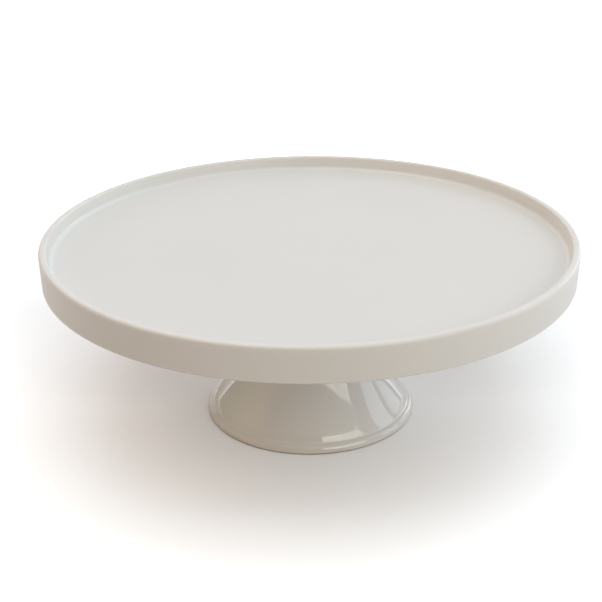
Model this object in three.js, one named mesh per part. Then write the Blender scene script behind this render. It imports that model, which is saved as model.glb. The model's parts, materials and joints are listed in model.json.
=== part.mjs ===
// Pedestal cake stand in glazed porcelain: a round plate with an upright rim, a hollow
// flared foot, and the ring of slip that bonds the two. Millimetres, +Z up, with the
// origin on the table under the middle of the foot.

import * as THREE from 'three';

// Driving dimensions
const STAND_HEIGHT = 112;       // table to the top of the rim
const PLATE_RADIUS = 155;       // outside of the rim, at its top
const BAND_HEIGHT = 20;         // outer wall of the plate, from skirt to rim
const WELL_DEPTH = 8;           // top of the rim to the plate's floor
const FLOOR_THICKNESS = 7;
const WALL_THICKNESS = 4.5;     // rim and skirt
const WALL_DRAFT = 0.7;         // how much narrower the outer wall is at its bottom
const FOOT_RADIUS = 62.6;       // outside of the lip at the table
const NECK_RADIUS = 28;
const FOOT_WALL = 5;
const JOINT_THICKNESS = 1.5;    // slip between foot and plate
const GAP = 0.3;                // clearance kept between touching solids

// Small radii and details of the plate
const RIM_OUTER_ROUND = 1.6;
const RIM_INNER_ROUND = 1.2;
const WELL_DRAFT = 1;           // how much narrower the well is at its floor
const WELL_COVE = 2.4;
const SKIRT_OUTER_ROUND = 1.3;
const SKIRT_INNER_ROUND = 1;
const SKIRT_COVE = 3;
const BOSS_RADIUS = 39;         // thicker middle that the foot is bonded to
const BOSS_DEPTH = 2;

// Small radii and details of the foot
const LAND_ROUND = 1;           // rounding between the lip and the table
const LAND_WIDTH = 3.2;         // flat ring that stands on the table
const LIP_SIDE_ROUND = 5;       // bulge of the lip's side
const LIP_SIDE_TURN = 38;       // degrees of that bulge, up from the horizontal
const LIP_SHOULDER = new THREE.Vector2(60.92, 4.87);  // the curve over the lip leans to it
const LIP_TOP = new THREE.Vector2(59.6, 5.05);
const LIP_VALLEY = new THREE.Vector2(58.8, 5.16);     // where the lip's top turns up again
const STEP_BOTTOM = new THREE.Vector2(58.1, 6.6);  // small steep step behind the lip
const CONE_BOTTOM = new THREE.Vector2(56.1, 9.6);  // where the step rounds into the cone
const CONE_START_ANGLE = 38;    // degrees from vertical, just above the step
const NECK_HEIGHT = 80;         // where the foot is narrowest
const TOP_FLARE = 5;            // how far the foot opens again under the plate

// Fineness of the facets
const PLATE_SEGMENTS = 96;
const FOOT_SEGMENTS = 72;
const ARC_STEPS = 2;
const CONE_STEPS = 8;
const FLARE_STEPS = 4;

// Heights that follow from the driving dimensions
const FLOOR_TOP = STAND_HEIGHT - WELL_DEPTH;
const FLOOR_BOTTOM = FLOOR_TOP - FLOOR_THICKNESS;
const SKIRT_BOTTOM = STAND_HEIGHT - BAND_HEIGHT;
const BOSS_BOTTOM = FLOOR_BOTTOM - BOSS_DEPTH;
const JOINT_TOP = BOSS_BOTTOM - GAP;
const JOINT_BOTTOM = JOINT_TOP - JOINT_THICKNESS;
const FOOT_TOP = JOINT_BOTTOM - GAP;

const degrees = THREE.MathUtils.degToRad;

function glaze(colour, roughness) {
  return new THREE.MeshStandardMaterial({ color: colour, roughness, metalness: 0 });
}

// Turns a profile of (radius, height) points about the vertical axis.
function turned(name, points, segments, material) {
  const geometry = new THREE.LatheGeometry(points, segments);
  geometry.rotateX(Math.PI / 2);
  const mesh = new THREE.Mesh(geometry, material);
  mesh.name = name;
  return mesh;
}

// Adds a round of the given centre and radius to a profile, with angles in degrees.
function turn(profile, radius, height, round, from, to) {
  profile.absarc(radius, height, round, degrees(from), degrees(to), to < from);
}

// The plate's profile runs from the axis below the floor, round the skirt and the rim,
// and back to the axis on top of the floor.
function makePlate() {
  const innerRadius = PLATE_RADIUS - WALL_THICKNESS;
  const skirtOuter = PLATE_RADIUS - WALL_DRAFT;
  const skirtInner = skirtOuter - WALL_THICKNESS;
  const profile = new THREE.Path();
  profile.moveTo(0, BOSS_BOTTOM);
  profile.lineTo(BOSS_RADIUS - BOSS_DEPTH, BOSS_BOTTOM);
  profile.lineTo(BOSS_RADIUS, FLOOR_BOTTOM);
  turn(profile, skirtInner - SKIRT_COVE, FLOOR_BOTTOM - SKIRT_COVE, SKIRT_COVE, 90, 0);
  turn(profile, skirtInner + SKIRT_INNER_ROUND, SKIRT_BOTTOM + SKIRT_INNER_ROUND,
    SKIRT_INNER_ROUND, 180, 270);
  turn(profile, skirtOuter - SKIRT_OUTER_ROUND, SKIRT_BOTTOM + SKIRT_OUTER_ROUND,
    SKIRT_OUTER_ROUND, -90, 0);
  turn(profile, PLATE_RADIUS - RIM_OUTER_ROUND, STAND_HEIGHT - RIM_OUTER_ROUND,
    RIM_OUTER_ROUND, 0, 90);
  turn(profile, innerRadius + RIM_INNER_ROUND, STAND_HEIGHT - RIM_INNER_ROUND,
    RIM_INNER_ROUND, 90, 180);
  turn(profile, innerRadius - WELL_DRAFT - WELL_COVE, FLOOR_TOP + WELL_COVE, WELL_COVE, 0, -90);
  profile.lineTo(0, FLOOR_TOP);
  return turned('plate', profile.getPoints(ARC_STEPS), PLATE_SEGMENTS, glaze('#e3e0da', 0.3));
}

// The foot's cone as one curve: wide and slanted above the step, upright at the neck.
function coneCurve() {
  const neck = new THREE.Vector2(NECK_RADIUS, NECK_HEIGHT);
  const upToBend = (CONE_BOTTOM.x - neck.x) / Math.tan(degrees(CONE_START_ANGLE));
  const bend = new THREE.Vector2(neck.x, CONE_BOTTOM.y + upToBend);
  return new THREE.QuadraticBezierCurve(CONE_BOTTOM, bend, neck);
}

// Above the neck the foot opens again towards the plate.
function flareCurve(neckRadius) {
  const start = new THREE.Vector2(neckRadius, NECK_HEIGHT);
  const bend = new THREE.Vector2(neckRadius, (NECK_HEIGHT + FOOT_TOP) / 2);
  const end = new THREE.Vector2(neckRadius + TOP_FLARE, FOOT_TOP);
  return new THREE.QuadraticBezierCurve(start, bend, end);
}

function pointsAfterStart(curve, steps) {
  return curve.getPoints(steps).slice(1);
}

// The cone's inner side, one wall thickness inside its outer side, from below the neck
// down to the step.
function innerCone(curve) {
  const inner = [];
  for (let step = CONE_STEPS - 1; step >= 0; step -= 1) {
    const along = step / CONE_STEPS;
    const tangent = curve.getTangent(along);
    const inward = new THREE.Vector2(-tangent.y, tangent.x);
    inner.push(curve.getPoint(along).addScaledVector(inward, FOOT_WALL));
  }
  return inner;
}

// The foot's profile closes on itself: up the outside, across the top, down the inside.
function makeFoot() {
  const cone = coneCurve();
  const landOuter = FOOT_RADIUS - LAND_ROUND;
  const lip = new THREE.Path();
  lip.moveTo(landOuter - LAND_WIDTH, 0);
  lip.lineTo(landOuter, 0);
  turn(lip, landOuter, LAND_ROUND, LAND_ROUND, -90, 0);
  turn(lip, FOOT_RADIUS - LIP_SIDE_ROUND, LAND_ROUND, LIP_SIDE_ROUND, 0, LIP_SIDE_TURN);
  lip.quadraticCurveTo(LIP_SHOULDER.x, LIP_SHOULDER.y, LIP_TOP.x, LIP_TOP.y);
  lip.quadraticCurveTo(LIP_VALLEY.x, LIP_VALLEY.y, STEP_BOTTOM.x, STEP_BOTTOM.y);
  lip.lineTo(CONE_BOTTOM.x, CONE_BOTTOM.y);
  const points = lip.getPoints(ARC_STEPS);
  points.push(...pointsAfterStart(cone, CONE_STEPS));
  points.push(...pointsAfterStart(flareCurve(NECK_RADIUS), FLARE_STEPS));
  points.push(...flareCurve(NECK_RADIUS - FOOT_WALL).getPoints(FLARE_STEPS).reverse());
  points.push(...innerCone(cone));
  points.push(points[0].clone());
  return turned('foot', points, FOOT_SEGMENTS, glaze('#dedbd4', 0.25));
}

// The slip squeezes out into a small bead that fills the corner under the plate.
function makeSlipJoint() {
  const outer = NECK_RADIUS + TOP_FLARE;
  const profile = new THREE.Path();
  profile.moveTo(outer - FOOT_WALL, JOINT_BOTTOM);
  profile.lineTo(outer, JOINT_BOTTOM);
  turn(profile, outer + JOINT_THICKNESS, JOINT_BOTTOM, JOINT_THICKNESS, 180, 90);
  profile.lineTo(outer - FOOT_WALL, JOINT_TOP);
  profile.closePath();
  return turned('slip_joint', profile.getPoints(ARC_STEPS), FOOT_SEGMENTS,
    glaze('#d8d4cb', 0.35));
}

const cakeStand = new THREE.Group();
cakeStand.add(makePlate(), makeFoot(), makeSlipJoint());

export default cakeStand;
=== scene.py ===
import json
import math

import bmesh
import bpy
import numpy as np
from mathutils import Matrix, Vector


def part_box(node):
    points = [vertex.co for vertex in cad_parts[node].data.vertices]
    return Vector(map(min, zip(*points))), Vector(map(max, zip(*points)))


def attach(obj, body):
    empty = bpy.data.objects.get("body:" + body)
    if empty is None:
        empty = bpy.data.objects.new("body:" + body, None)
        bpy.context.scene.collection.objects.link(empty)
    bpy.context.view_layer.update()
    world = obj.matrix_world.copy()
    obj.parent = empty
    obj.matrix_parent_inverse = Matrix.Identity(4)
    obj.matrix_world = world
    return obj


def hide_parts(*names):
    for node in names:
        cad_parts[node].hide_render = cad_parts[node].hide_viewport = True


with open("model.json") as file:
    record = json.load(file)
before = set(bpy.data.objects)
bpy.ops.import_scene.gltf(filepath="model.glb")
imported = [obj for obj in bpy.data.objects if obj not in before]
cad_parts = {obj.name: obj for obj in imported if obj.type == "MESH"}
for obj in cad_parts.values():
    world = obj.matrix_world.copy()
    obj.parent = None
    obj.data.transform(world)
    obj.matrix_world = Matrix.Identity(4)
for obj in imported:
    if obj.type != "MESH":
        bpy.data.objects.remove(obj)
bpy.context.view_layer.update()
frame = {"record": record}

MM = 0.001
FLOOR_THICKNESS = 7 * MM
GAP = 0.3 * MM

# ---------------------------------------------------------------- sizes from the frame
plate_low, plate_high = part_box("plate")
joint_low, joint_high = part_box("slip_joint")
mounts = {mount["name"]: mount for mount in frame["record"]["mounts"]}

plate_radius = plate_high.x
foot_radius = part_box("foot")[1].x
stand_height = plate_high.z
floor_top = mounts["cake_face"]["pos_m"][2]
floor_bottom = floor_top - FLOOR_THICKNESS
skirt_bottom = plate_low.z
boss_bottom = joint_high.z + GAP
joint_bottom = joint_low.z

# ---------------------------------------------------------------- sizes of the plate's details
WALL = 4.5 * MM
WALL_DRAFT = 0.7 * MM
RIM_OUTER_ROUND = 1.6 * MM
RIM_INNER_ROUND = 1.2 * MM
WELL_COVE = 2.4 * MM
WELL_DRAFT = 1 * MM
SKIRT_OUTER_ROUND = 1.3 * MM
SKIRT_INNER_ROUND = 1 * MM
SKIRT_COVE = 3 * MM
BOSS_RADIUS = 39 * MM
BOSS_ROUND = 1 * MM
BOSS_COVE = 1.4 * MM
BOSS_SPREAD = 0.2 * MM
BOSS_SIDE_TURN = 10

# ---------------------------------------------------------------- sizes of the foot's details
# Pairs from LIP_SHOULDER to CONE_BOTTOM are (radius, height).
LAND_ROUND = 1 * MM
LAND_WIDTH = 3.2 * MM
LAND_INNER_ROUND = 0.8 * MM
LIP_SIDE_ROUND = 5 * MM
LIP_SIDE_TURN = 38
LIP_SHOULDER = (60.92 * MM, 4.87 * MM)
LIP_TOP = (59.6 * MM, 5.05 * MM)
LIP_VALLEY = (58.8 * MM, 5.16 * MM)
STEP_BOTTOM = (58.1 * MM, 6.6 * MM)
STEP_SHOULDER = (57.25 * MM, 8.2 * MM)
CONE_BOTTOM = (56.1 * MM, 9.6 * MM)
CONE_START_ANGLE = math.radians(38)
NECK_RADIUS = 28 * MM
NECK_HEIGHT = 80 * MM
TOP_FLARE = 5 * MM
FOOT_WALL = 5 * MM

# The cone is drawn in a little at its waist, between these heights.
WAIST = 0.5 * MM
WAIST_FROM = (10 * MM, 26 * MM)
WAIST_TO = (45 * MM, 75 * MM)

# The bead of slip starts this far outside the foot, and bends at (further out, below the boss).
BEAD_START = 0.1 * MM
BEAD_BEND = (0.3 * MM, 0.4 * MM)

# ---------------------------------------------------------------- what the fire and hands did
RIM_OVAL = 0.25 * MM
RIM_WAVE = 0.25 * MM
FLOOR_SAG = 0.3 * MM
SAG_FROM = 0.2
SAG_SPAN = 0.74
FOOT_OVAL = 0.2 * MM
BEAD_WIPE = 0.5 * MM

# ---------------------------------------------------------------- fineness of the meshes
PLATE_SEGMENTS = 320
FOOT_SEGMENTS = 224
PLATE_STEP = 4 * MM
FOOT_STEP = 2.5 * MM
JOINT_STEP = 0.6 * MM
AXIS_HOLE = 2 * MM

# An outline is an edge or a cove where it bends, within EDGE_REACH, more than GENTLE_BEND, and
# fully so at TIGHT_BEND, in radians per metre.
EDGE_REACH = 1.2 * MM
GENTLE_BEND = 150
TIGHT_BEND = 600

# ---------------------------------------------------------------- camera
CAMERA_ELEVATION = math.radians(23.4)
CAMERA_ROLL = math.radians(-0.58)
CAMERA_DISTANCE = 2.445 * 2 * plate_radius
CAMERA_AIM = Vector((-0.0166 * 2 * plate_radius, 0, 0.615 * stand_height))
LENS_TO_SENSOR = 2.121
SENSOR_WIDTH = 36


def make_camera():
    data = bpy.data.cameras.new("camera")
    data.sensor_width = SENSOR_WIDTH
    data.lens = LENS_TO_SENSOR * SENSOR_WIDTH
    camera = bpy.data.objects.new("camera", data)
    bpy.context.scene.collection.objects.link(camera)
    forward = Vector((0, math.cos(CAMERA_ELEVATION), -math.sin(CAMERA_ELEVATION)))
    camera.location = CAMERA_AIM - CAMERA_DISTANCE * forward
    level = forward.to_track_quat("-Z", "Y").to_matrix()
    camera.rotation_euler = (level @ Matrix.Rotation(CAMERA_ROLL, 3, "Z")).to_euler()
    bpy.context.scene.camera = camera


make_camera()


# ---------------------------------------------------------------- outlines
def arc(radius, height, size, start, end, steps=8):
    """Points of a round edge as (radius, height), with angles in degrees."""
    angles = np.radians(np.linspace(start, end, steps + 1))
    return [(radius + size * math.cos(a), height + size * math.sin(a)) for a in angles]


def bend(start, middle, end, steps):
    """Points of a curve from start to end that leans towards middle."""
    start, middle, end = (np.array(point) for point in (start, middle, end))
    found = []
    for t in np.linspace(0, 1, steps + 1):
        found.append(tuple((1 - t) ** 2 * start + 2 * t * (1 - t) * middle + t * t * end))
    return found


def swell(value, low, high):
    """0 below low, 1 above high, and a smooth turn between."""
    t = min(max((value - low) / (high - low), 0), 1)
    return t * t * (3 - 2 * t)


def refined(points, step):
    """The same outline with more points on its long stretches, closest near their ends."""
    too_short = 0.001 * MM
    found = [points[0]]
    for a, b in zip(points[:-1], points[1:]):
        length = math.dist(a, b)
        if length < too_short:
            continue
        pieces = max(1, math.ceil(length / step))
        for i in range(1, pieces + 1):
            t = 0.5 - 0.5 * math.cos(math.pi * i / pieces)
            found.append((a[0] + t * (b[0] - a[0]), a[1] + t * (b[1] - a[1])))
    return np.array(found)


def edge_and_cove(outline, closed):
    """How sharply the outline turns outwards, and inwards, near each point, from 0 to 1."""
    before = np.roll(outline, 1, 0)
    after = np.roll(outline, -1, 0)
    if not closed:
        before[0] = outline[0]
        after[-1] = outline[-1]
    into = outline - before
    out = after - outline
    cross = into[:, 0] * out[:, 1] - into[:, 1] * out[:, 0]
    turn = np.arctan2(cross, (into * out).sum(1))
    length = (np.linalg.norm(into, axis=1) + np.linalg.norm(out, axis=1)) / 2
    gap = np.linalg.norm(outline[:, None] - outline[None], axis=2)
    weight = np.exp(-0.5 * (gap / EDGE_REACH) ** 2) * length
    curvature = weight @ (turn / length) / weight.sum(1)
    sharpness = np.clip((np.abs(curvature) - GENTLE_BEND) / (TIGHT_BEND - GENTLE_BEND), 0, 1)
    return np.where(curvature > 0, sharpness, 0), np.where(curvature < 0, sharpness, 0)


# ---------------------------------------------------------------- turned meshes
def unevenness(angles, seed):
    """A slow variation round the piece, from 0 to 1, as hands and fire leave it."""
    random = np.random.default_rng(seed)
    total = np.zeros_like(angles)
    for order in (2, 3, 4, 5, 7):
        total += random.normal() / order * np.cos(order * angles + random.uniform(0, math.tau))
    return (total - total.min()) / (total.max() - total.min())


def cap_ends(mesh, index):
    """Closes the small round holes at the axis, where an outline starts and ends."""
    work = bmesh.new()
    work.from_mesh(mesh)
    work.verts.ensure_lookup_table()
    for ring, flip in ((index[0], True), (index[-1], False)):
        middle = work.verts.new(Vector((0, 0, work.verts[int(ring[0])].co.z)))
        work.verts.ensure_lookup_table()
        corners = [work.verts[int(i)] for i in ring]
        for a, b in zip(corners, corners[1:] + corners[:1]):
            work.faces.new((b, a, middle) if flip else (a, b, middle))
    work.to_mesh(mesh)
    work.free()


def store(mesh, label, values, segments):
    """Keeps one value for each point of the outline, for the glaze to read."""
    layer = mesh.attributes.new(label, "FLOAT", "POINT")
    spread = np.zeros(len(mesh.vertices), np.float32)
    spread[: len(values) * segments] = np.repeat(values, segments)
    layer.data.foreach_set("value", spread)


def turned(name, outline, closed, segments, warp):
    """Turns an outline of (radius, height) points about Z. warp moves the points a little."""
    angles = np.linspace(0, math.tau, segments, endpoint=False)
    radius = np.repeat(outline[:, :1], segments, 1)
    height = np.repeat(outline[:, 1:], segments, 1)
    radius, height = warp(radius, height, angles)
    at = np.stack([radius * np.cos(angles), radius * np.sin(angles), height], 2)
    index = np.arange(len(outline) * segments).reshape(len(outline), segments)
    this_row = index if closed else index[:-1]
    next_row = np.roll(index, -1, 0) if closed else index[1:]
    quads = np.stack([this_row, np.roll(this_row, -1, 1), np.roll(next_row, -1, 1), next_row], 2)
    mesh = bpy.data.meshes.new(name)
    mesh.from_pydata(at.reshape(-1, 3).tolist(), [], quads.reshape(-1, 4).tolist())
    if not closed:
        cap_ends(mesh, index)
    edge, cove = edge_and_cove(outline, closed)
    store(mesh, "edge", edge, segments)
    store(mesh, "cove", cove, segments)
    mesh.shade_smooth()
    piece = bpy.data.objects.new(name, mesh)
    bpy.context.scene.collection.objects.link(piece)
    return piece


# ---------------------------------------------------------------- plate
def plate_outline():
    inner = plate_radius - WALL
    skirt_outer = plate_radius - WALL_DRAFT
    skirt_inner = skirt_outer - WALL
    boss_cove = BOSS_RADIUS + BOSS_SPREAD + BOSS_COVE
    points = [(AXIS_HOLE, boss_bottom)]
    points += arc(BOSS_RADIUS - BOSS_ROUND, boss_bottom + BOSS_ROUND,
                  BOSS_ROUND, -90, -BOSS_SIDE_TURN, 5)
    points += arc(boss_cove, floor_bottom - BOSS_COVE, BOSS_COVE, 180 - BOSS_SIDE_TURN, 90, 5)
    points += arc(skirt_inner - SKIRT_COVE, floor_bottom - SKIRT_COVE, SKIRT_COVE, 90, 0)
    points += arc(skirt_inner + SKIRT_INNER_ROUND, skirt_bottom + SKIRT_INNER_ROUND,
                  SKIRT_INNER_ROUND, 180, 270)
    points += arc(skirt_outer - SKIRT_OUTER_ROUND, skirt_bottom + SKIRT_OUTER_ROUND,
                  SKIRT_OUTER_ROUND, -90, 0)
    points += arc(plate_radius - RIM_OUTER_ROUND, stand_height - RIM_OUTER_ROUND,
                  RIM_OUTER_ROUND, 0, 90)
    points += arc(inner + RIM_INNER_ROUND, stand_height - RIM_INNER_ROUND,
                  RIM_INNER_ROUND, 90, 180)
    points += arc(inner - WELL_DRAFT - WELL_COVE, floor_top + WELL_COVE, WELL_COVE, 0, -90, 12)
    points.append((AXIS_HOLE, floor_top))
    return refined(points, PLATE_STEP)


def warp_plate(radius, height, angles):
    """The rim is a touch oval and wavy, and the floor sags a little between foot and rim."""
    out = np.clip(radius / plate_radius, 0, 1)
    radius = radius - RIM_OVAL * out * unevenness(angles, 11)
    up = np.clip((height - floor_bottom) / (stand_height - floor_bottom), 0, 1)
    height = height - RIM_WAVE * up * out ** 4 * unevenness(angles, 12)
    between = np.sin(math.pi * np.clip((out - SAG_FROM) / SAG_SPAN, 0, 1)) ** 2
    on_floor = (radius < plate_radius - 2 * WALL) & (height > floor_bottom)
    height = height - np.where(on_floor, FLOOR_SAG * between, 0)
    return radius, height


# ---------------------------------------------------------------- foot
def lip_outline():
    """The ring that stands on the table, the lip, the valley and the step, up to the cone."""
    land_outer = foot_radius - LAND_ROUND
    land_inner = land_outer - LAND_WIDTH + LAND_INNER_ROUND
    points = arc(land_inner, LAND_INNER_ROUND, LAND_INNER_ROUND, 225, 270, 4)
    points += arc(land_outer, LAND_ROUND, LAND_ROUND, -90, 0)
    points += arc(foot_radius - LIP_SIDE_ROUND, LAND_ROUND, LIP_SIDE_ROUND, 0, LIP_SIDE_TURN, 12)[1:]
    points += bend(points[-1], LIP_SHOULDER, LIP_TOP, 10)[1:]
    points += bend(LIP_TOP, LIP_VALLEY, STEP_BOTTOM, 10)[1:]
    points += bend(STEP_BOTTOM, STEP_SHOULDER, CONE_BOTTOM, 8)[1:]
    return points


def cone_outline():
    """The cone's outside, from the step up to the neck."""
    bend_height = CONE_BOTTOM[1] + (CONE_BOTTOM[0] - NECK_RADIUS) / math.tan(CONE_START_ANGLE)
    cone = bend(CONE_BOTTOM, (NECK_RADIUS, bend_height), (NECK_RADIUS, NECK_HEIGHT), 40)
    return [(r - WAIST * swell(z, *WAIST_FROM) * (1 - swell(z, *WAIST_TO)), z) for r, z in cone]


def flare(radius, steps):
    """The neck's upper end, which spreads under the plate."""
    middle = (NECK_HEIGHT + joint_bottom) / 2
    return bend((radius, NECK_HEIGHT), (radius, middle), (radius + TOP_FLARE, joint_bottom), steps)


def inside_of(cone):
    """The inside of the cone's wall, from the bottom up."""
    path = np.array(cone)
    along = np.gradient(path, axis=0)
    along /= np.linalg.norm(along, axis=1)[:, None]
    inside = path + FOOT_WALL * np.stack([-along[:, 1], along[:, 0]], 1)
    return [tuple(point) for point in inside]


def foot_outline():
    cone = cone_outline()
    up_outside = lip_outline() + cone[1:] + flare(NECK_RADIUS, 12)[1:]
    down_inside = flare(NECK_RADIUS - FOOT_WALL, 8)[::-1] + inside_of(cone)[::-1][1:]
    return refined(up_outside + down_inside, FOOT_STEP)


def warp_foot(radius, height, angles):
    """The slip-cast wall is a little out of round."""
    return radius - FOOT_OVAL * radius / foot_radius * unevenness(angles, 21), height


# ---------------------------------------------------------------- joining bead
def joint_outline():
    outer = NECK_RADIUS + TOP_FLARE
    inner = outer - FOOT_WALL
    bend_out, bend_down = BEAD_BEND
    points = [(inner, joint_bottom), (outer, joint_bottom)]
    points += bend((outer + BEAD_START, joint_bottom), (outer + bend_out, boss_bottom - bend_down),
                   (joint_high.x, boss_bottom), 8)
    points.append((inner, boss_bottom))
    return refined(points, JOINT_STEP)


def warp_joint(radius, height, angles):
    """The bead was wiped by hand, so its width varies."""
    outside = radius > NECK_RADIUS + TOP_FLARE
    return radius - np.where(outside, BEAD_WIPE * unevenness(angles, 31), 0), height


# ---------------------------------------------------------------- shader nodes
def node(tree, kind, values=None, **settings):
    """Adds a shader node. values holds its inputs: a socket is linked, anything else is set."""
    made = tree.nodes.new("ShaderNode" + kind)
    for name, value in settings.items():
        setattr(made, name, value)
    for name, value in (values or {}).items():
        if isinstance(value, bpy.types.NodeSocket):
            tree.links.new(value, made.inputs[name])
        else:
            made.inputs[name].default_value = value
    return made


def maths(tree, operation, a, b=0.0, c=0.0):
    return node(tree, "Math", {0: a, 1: b, 2: c}, operation=operation).outputs[0]


def noise(tree, where, scale, detail=2.0):
    return node(tree, "TexNoise", {"Vector": where, "Scale": scale, "Detail": detail}).outputs["Fac"]


def ramp(tree, value, low, high):
    """0 at low, 1 at high, and a smooth turn between. low may be the greater."""
    values = {"Value": value, "From Min": low, "From Max": high}
    return node(tree, "MapRange", values, interpolation_type="SMOOTHSTEP").outputs[0]


def blend(tree, amount, a, b):
    """Colour a turning into colour b."""
    made = node(tree, "Mix", {0: amount}, data_type="RGBA")
    for socket, value in ((made.inputs[6], a), (made.inputs[7], b)):
        if isinstance(value, bpy.types.NodeSocket):
            tree.links.new(value, socket)
        else:
            socket.default_value = (*value, 1)
    return made.outputs[2]


def specks(tree, where, per_metre, size, share):
    """Small round spots, in a given share of the cells of a grid."""
    cells = node(tree, "TexVoronoi", {"Vector": where, "Scale": per_metre, "Randomness": 1.0})
    rim = size * per_metre
    spot = ramp(tree, cells.outputs["Distance"], rim, rim * SPECK_CORE)
    chance = node(tree, "SeparateColor", {0: cells.outputs["Color"]}).outputs[0]
    return maths(tree, "MULTIPLY", spot, maths(tree, "LESS_THAN", chance, share))


# ---------------------------------------------------------------- glaze
PLATE_COLOUR = (0.85, 0.832, 0.795)
# The plate's porcelain drawn lighter and cooler for the foot and the bead: painted light that lifts
# the shade under the plate.
FOOT_PAINTED_LIGHT_COLOUR = (0.88, 0.878, 0.865)
# Lighter than the base on the rounded edges: partly thinner glaze, partly a painted highlight.
THIN_GLAZE_AND_HIGHLIGHT_COLOUR = (0.96, 0.925, 0.87)
# Lighter than the base in the coves: painted light that lifts their shade, with a cooler tone for
# pooled glaze.
POOLED_GLAZE_AND_COVE_LIGHT_COLOUR = (0.92, 0.915, 0.90)
SPECK_COLOUR = (0.40, 0.33, 0.25)
# Dark brown on the ring at the table: partly the unglazed body, partly painted contact shade where
# the foot meets the table.
BARE_RING_AND_CONTACT_SHADE_COLOUR = (0.52, 0.455, 0.375)

# The glaze drifts in thickness over the piece. THICK_TONE darkens it where it is thick, and
# drift values between these turn it thick, or let it grow thinner on the edges, where the lighter
# edge colour is also a painted highlight.
DRIFT_SCALE = 14
THICK_TONE = 0.985
THICK_BETWEEN = (0.3, 0.75)
THIN_AND_HIGHLIGHT_BETWEEN = (0.2, 0.6)
THIN_AND_HIGHLIGHT_SHARE = 0.8
ROUGHNESS_DRIFT = 0.04

# Spots, as (cells per metre, radius, share of the cells that have one).
SPECKS = (70, 0.35 * MM, 0.03)
PINHOLES = (240, 0.18 * MM, 0.06)
SPECK_CORE = 0.4
SPECK_SHARE = 0.6
PINHOLE_DEPTH = 0.5

PEEL_SCALE = 90
BUMP_STRENGTH = 0.12
BUMP_DISTANCE = 0.3 * MM
GLAZE_IOR = 1.5
COAT_ROUGHNESS = 0.03

# The ring on the table is glazed above the first height and unglazed below the second, where its
# dark colour is partly the unglazed body and partly painted contact shade.
BARE_AND_CONTACT_SHADE_BETWEEN = (0.8 * MM, 0.5 * MM)
SHORE_SCALE = 60
SHORE_WANDER = 0.8 * MM
BARE_ROUGHNESS = 0.5
GRAIN_SCALE = 900


def glaze_colour(tree, where, drift, base):
    """Warm where the glaze thins on edges, and lighter there as a painted highlight; lighter and
    cooler in the coves, the cooler tone from pooled glaze and the lighter tone painted light that
    lifts their shade; with rare specks.
    """
    edge = node(tree, "Attribute", attribute_name="edge").outputs["Fac"]
    cove = node(tree, "Attribute", attribute_name="cove").outputs["Fac"]
    # Edges take the lighter colour: partly thinner glaze, partly a painted highlight.
    thin_and_highlight = maths(tree, "MULTIPLY", edge, ramp(tree, drift, *THIN_AND_HIGHLIGHT_BETWEEN))
    thick_colour = tuple(THICK_TONE * part for part in base)
    colour = blend(tree, ramp(tree, drift, *THICK_BETWEEN), base, thick_colour)
    colour = blend(tree, maths(tree, "MULTIPLY", thin_and_highlight, THIN_AND_HIGHLIGHT_SHARE), colour, THIN_GLAZE_AND_HIGHLIGHT_COLOUR)
    # Coves take a lighter, cooler colour: painted light that lifts their shade, cooler for pooled
    # glaze.
    colour = blend(tree, cove, colour, POOLED_GLAZE_AND_COVE_LIGHT_COLOUR)
    spots = specks(tree, where, *SPECKS)
    return blend(tree, maths(tree, "MULTIPLY", spots, SPECK_SHARE), colour, SPECK_COLOUR)


def bare_ring_and_contact_shade(tree, where):
    """1 on the unglazed ring at the table, whose upper border wanders a little; the same mask paints
    the dark contact shade there.
    """
    level = node(tree, "SeparateXYZ", {0: where}).outputs[2]
    wander = maths(tree, "MULTIPLY", noise(tree, where, SHORE_SCALE), -SHORE_WANDER)
    return ramp(tree, maths(tree, "ADD", level, wander), *BARE_AND_CONTACT_SHADE_BETWEEN)


def glaze(name, base, roughness, coat, bare_land_and_contact_shade=False):
    """Porcelain under a clear glossy glaze, with faint orange peel and pinholes."""
    material = bpy.data.materials.new(name)
    material.use_nodes = True
    tree = material.node_tree
    where = node(tree, "TexCoord").outputs["Object"]
    drift = noise(tree, where, DRIFT_SCALE, 3)
    colour = glaze_colour(tree, where, drift, base)
    rough = maths(tree, "ADD", roughness, maths(tree, "MULTIPLY", drift, ROUGHNESS_DRIFT))
    pits = maths(tree, "MULTIPLY", specks(tree, where, *PINHOLES), PINHOLE_DEPTH)
    height = maths(tree, "SUBTRACT", noise(tree, where, PEEL_SCALE, 1), pits)
    if bare_land_and_contact_shade:
        bare_and_contact_shade = bare_ring_and_contact_shade(tree, where)
        grain = maths(tree, "MULTIPLY", bare_and_contact_shade, noise(tree, where, GRAIN_SCALE))
        # The ring at the table turns dark: partly the unglazed body, partly painted contact shade.
        colour = blend(tree, bare_and_contact_shade, colour, BARE_RING_AND_CONTACT_SHADE_COLOUR)
        rough = maths(tree, "ADD", rough, maths(tree, "MULTIPLY", bare_and_contact_shade, BARE_ROUGHNESS))
        height = maths(tree, "ADD", height, grain)
    relief = {"Height": height, "Strength": BUMP_STRENGTH, "Distance": BUMP_DISTANCE}
    bump = node(tree, "Bump", relief).outputs[0]
    shader = tree.nodes["Principled BSDF"]
    for socket, value in (("Base Color", colour), ("Roughness", rough), ("Normal", bump)):
        tree.links.new(value, shader.inputs[socket])
    shader.inputs["IOR"].default_value = GLAZE_IOR
    shader.inputs["Coat Weight"].default_value = coat
    shader.inputs["Coat Roughness"].default_value = COAT_ROUGHNESS
    return material


# ---------------------------------------------------------------- assembly
def place(piece, stands_for, material):
    piece.data.materials.append(material)
    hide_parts(stands_for)
    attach(piece, "root")


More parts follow.
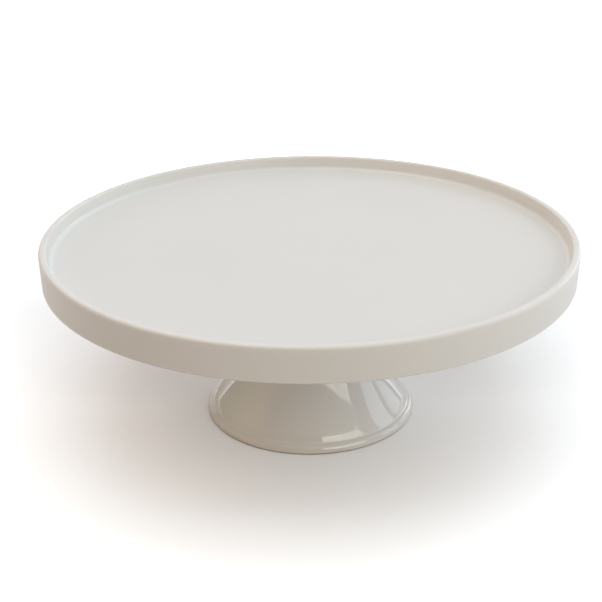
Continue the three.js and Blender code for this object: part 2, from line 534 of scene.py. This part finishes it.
plate = turned("porcelain_plate", plate_outline(), False, PLATE_SEGMENTS, warp_plate)
foot = turned("porcelain_foot", foot_outline(), True, FOOT_SEGMENTS, warp_foot)
bead = turned("joining_bead", joint_outline(), True, FOOT_SEGMENTS, warp_joint)
place(plate, "plate",
      glaze("plate_glaze", PLATE_COLOUR, roughness=0.33, coat=0.15))
# The foot and the bead take the lighter, cooler copy of the porcelain: painted light under the
# plate.
place(foot, "foot",
      glaze("foot_glaze", FOOT_PAINTED_LIGHT_COLOUR, roughness=0.03, coat=0.6, bare_land_and_contact_shade=True))
place(bead, "slip_joint",
      glaze("joint_glaze", FOOT_PAINTED_LIGHT_COLOUR, roughness=0.12, coat=0.3))

# ---------------------------------------------------------------- floor
# The camera and the glaze see the sweep in SWEEP_COLOUR. Light that falls from it on the stand
# takes SWEEP_BOUNCE, which turns into SWEEP_COLOUR within BRIGHT_SIDE plate radii towards +X.
SWEEP_SIZE = 8
SWEEP_COLOUR = (0.75, 0.75, 0.75)
SWEEP_BOUNCE = (0.58, 0.56, 0.53)
BRIGHT_SIDE = 2

# The sweep also shows a light of its own: SWEEP_LIGHT all over, and SWEEP_GLOW, which makes it
# plain white away from the stand, as (from, to, strength) in plate radii. SHADE_BEHIND holds
# the glow back behind the stand. The camera sees it all, the glaze GLOW_IN_GLAZE of it, and it
# doesn't light the stand otherwise.
SWEEP_LIGHT = 0.185
SWEEP_GLOW = ((0.35, 1.3, 0.38), (1.0, 2.0, 0.4), (1.8, 3.2, 1.0))
SHADE_BEHIND = 0.7
GLOW_IN_GLAZE = 0.45


def sweep_glow(tree, where, along):
    """The light that the sweep shows, by the distance from the stand."""
    distance = node(tree, "VectorMath", {0: where}, operation="LENGTH").outputs["Value"]
    behind = maths(tree, "MINIMUM", maths(tree, "MAXIMUM", along, 0.0), plate_radius)
    away = maths(tree, "SUBTRACT", distance, maths(tree, "MULTIPLY", behind, SHADE_BEHIND))
    glow = 0.0
    for start, end, strength in SWEEP_GLOW:
        share = ramp(tree, away, start * plate_radius, end * plate_radius)
        glow = maths(tree, "MULTIPLY_ADD", share, strength, glow)
    return maths(tree, "ADD", glow, SWEEP_LIGHT)


def sweep_material():
    material = bpy.data.materials.new("floor")
    material.use_nodes = True
    tree = material.node_tree
    tree.nodes.clear()
    where = node(tree, "TexCoord").outputs["Object"]
    across, along, _ = node(tree, "SeparateXYZ", {0: where}).outputs
    rays = node(tree, "LightPath").outputs
    in_glaze = maths(tree, "MULTIPLY", rays["Is Glossy Ray"], GLOW_IN_GLAZE)
    seen = maths(tree, "MAXIMUM", rays["Is Camera Ray"], in_glaze)
    glow = maths(tree, "MULTIPLY", sweep_glow(tree, where, along), seen)
    looked_at = maths(tree, "MAXIMUM", rays["Is Camera Ray"], rays["Is Glossy Ray"])
    to_the_side = ramp(tree, across, 0.0, BRIGHT_SIDE * plate_radius)
    colour = blend(tree, maths(tree, "MAXIMUM", looked_at, to_the_side), SWEEP_BOUNCE, SWEEP_COLOUR)
    paper = node(tree, "BsdfDiffuse", {"Color": colour}).outputs[0]
    white = node(tree, "Emission", {"Color": (1, 1, 1, 1), "Strength": glow}).outputs[0]
    surface = node(tree, "AddShader", {0: paper, 1: white}).outputs[0]
    node(tree, "OutputMaterial", {"Surface": surface})
    return material


def make_floor():
    """A pale sweep that turns to plain white away from the stand."""
    mesh = bpy.data.meshes.new("floor")
    corners = [(x * SWEEP_SIZE, y * SWEEP_SIZE, 0) for x, y in ((-1, -1), (1, -1), (1, 1), (-1, 1))]
    mesh.from_pydata(corners, [], [(0, 1, 2, 3)])
    mesh.materials.append(sweep_material())
    floor = bpy.data.objects.new("floor", mesh)
    bpy.context.scene.collection.objects.link(floor)


# ---------------------------------------------------------------- room
# Soft patches of light round the room, as (bearing, elevation, colour), in degrees. Bearings go
# from the camera to +X. A higher FILL_FOCUS makes each patch smaller.
RIGHT_FILL = (90, 15, (0.20, 0.15, 0.20))
BACK_FILL = (180, 15, (0.90, 0.85, 0.90))
LEFT_FILL = (270, 15, (0.35, 0.55, 0.40))
HIGH_LEFT_FILL = (270, 45, (0.60, 0.25, 0.15))
FRONT_LEFT_FILL = (315, 15, (0.15, 0.0, 0.0))
FILLS = (RIGHT_FILL, BACK_FILL, LEFT_FILL, HIGH_LEFT_FILL, FRONT_LEFT_FILL)
FILL_FOCUS = 4.0


def room_light(tree):
    """The sum of the soft patches of light."""
    look = node(tree, "TexCoord").outputs["Generated"]
    total = (0, 0, 0)
    for bearing, elevation, colour in FILLS:
        turn = math.radians(bearing)
        rise = math.radians(elevation)
        flat = math.cos(rise)
        side = (flat * math.sin(turn), -flat * math.cos(turn), math.sin(rise))
        facing = node(tree, "VectorMath", {0: look, 1: side}, operation="DOT_PRODUCT")
        share = maths(tree, "MAXIMUM", facing.outputs["Value"], 0.0)
        share = maths(tree, "POWER", share, FILL_FOCUS)
        part = node(tree, "VectorMath", {0: colour, "Scale": share}, operation="SCALE").outputs[0]
        total = node(tree, "VectorMath", {0: part, 1: total}, operation="ADD").outputs[0]
    return total


def make_room():
    """The room's light on the stand, and plain white behind it for the camera."""
    world = bpy.data.worlds.new("room")
    bpy.context.scene.world = world
    world.use_nodes = True
    tree = world.node_tree
    tree.nodes.clear()
    room = node(tree, "Background", {"Color": room_light(tree), "Strength": 1.0}).outputs[0]
    white = node(tree, "Background", {"Color": (1, 1, 1, 1), "Strength": 1.0}).outputs[0]
    seen = node(tree, "LightPath").outputs["Is Camera Ray"]
    surface = node(tree, "MixShader", {0: seen, 1: room, 2: white}).outputs[0]
    node(tree, "OutputWorld", {"Surface": surface})


# ---------------------------------------------------------------- lamps
CEILING = (0.72, 0.92, 1.0)
LAMPLIGHT = (1.0, 0.99, 0.86)
SHADE = (0.74, 0.84, 0.92)
DAYLIGHT = (0.90, 0.96, 1.0)
BACKDROP = (1.0, 0.88, 0.60)

OVERHEAD_HEIGHT = 1.6
OVERHEAD_SIZE = 1.6
OVERHEAD_POWER = 12.9

# Windows as (name, low edge, high edge, panes), and each pane as (first bearing, last bearing,
# power, colour). The panes are separate lamps, so that the bars between them show in the glaze.
WINDOW_DISTANCE = 2.0
WINDOWS = (
    ("window_front", 0.5, 1.7, ((14, 40, 10.1, LAMPLIGHT), (40, 62, 6.7, LAMPLIGHT))),
    ("window_right", 0.15, 2.0,
     ((84, 106, 6.7, SHADE), (112, 133, 4.6, SHADE), (135, 150, 6.3, DAYLIGHT))),
    ("backdrop", 0.0, 0.5, ((186, 219, 1.2, BACKDROP),)),
)


def lamp(name, spot, aim, size, power, colour):
    """A soft rectangular lamp at spot that faces aim."""
    data = bpy.data.lights.new(name, "AREA")
    data.shape = "RECTANGLE"
    data.size, data.size_y = size
    data.energy = power
    data.color = colour
    made = bpy.data.objects.new(name, data)
    bpy.context.scene.collection.objects.link(made)
    made.location = spot
    made.rotation_euler = (Vector(spot) - Vector(aim)).to_track_quat("Z", "Y").to_euler()
    made.visible_camera = False


def make_window(name, low, high, panes):
    height = (low + high) / 2
    for i, (first, last, power, colour) in enumerate(panes):
        bearing = math.radians((first + last) / 2)
        width = 2 * WINDOW_DISTANCE * math.tan(math.radians(last - first) / 2)
        x = WINDOW_DISTANCE * math.sin(bearing)
        y = -WINDOW_DISTANCE * math.cos(bearing)
        lamp(f"{name}_{i + 1}", (x, y, height), (0, 0, height), (width, high - low), power, colour)


make_floor()
make_room()
lamp("overhead", (0, 0, OVERHEAD_HEIGHT), (0, 0, 0), (OVERHEAD_SIZE, OVERHEAD_SIZE),
     OVERHEAD_POWER, CEILING)
for window in WINDOWS:
    make_window(*window)

bpy.context.scene.view_settings.view_transform = "Standard"
